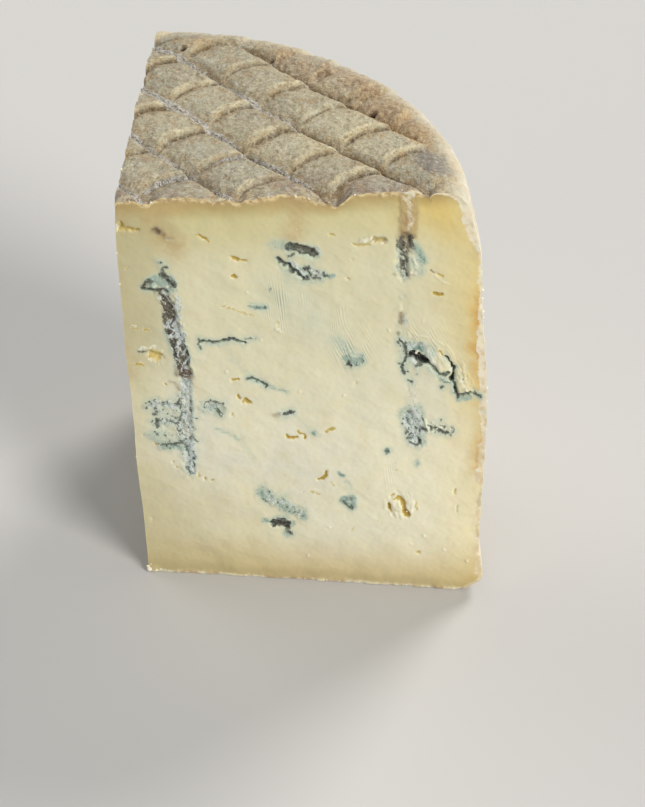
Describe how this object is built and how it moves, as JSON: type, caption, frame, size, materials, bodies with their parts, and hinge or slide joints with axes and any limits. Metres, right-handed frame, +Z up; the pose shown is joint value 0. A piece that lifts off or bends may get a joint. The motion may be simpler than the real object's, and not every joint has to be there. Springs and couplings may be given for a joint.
{
  "type": "blue cheese wedge",
  "caption": "Quarter wedge of a tall soft-rinded blue cheese wheel, standing on its base, with veined cut faces and a mat-imprinted rind",
  "frame": {"origin": "middle of the bounding box's base, on the flat underside", "axes": "+Z up; the front cut face looks along -Y, the left cut face along -X, and the rind's arc faces +X and +Y"},
  "size_m": [0.1056, 0.096, 0.1435],
  "materials": {
    "cheese": "moist pale ivory paste with blue-grey mould veins, under a dry grey-beige rind with an imprint of the draining mat"
  },
  "bodies": {
    "root": {"cheese_wedge": "cheese"}
  },
  "joints": []
}
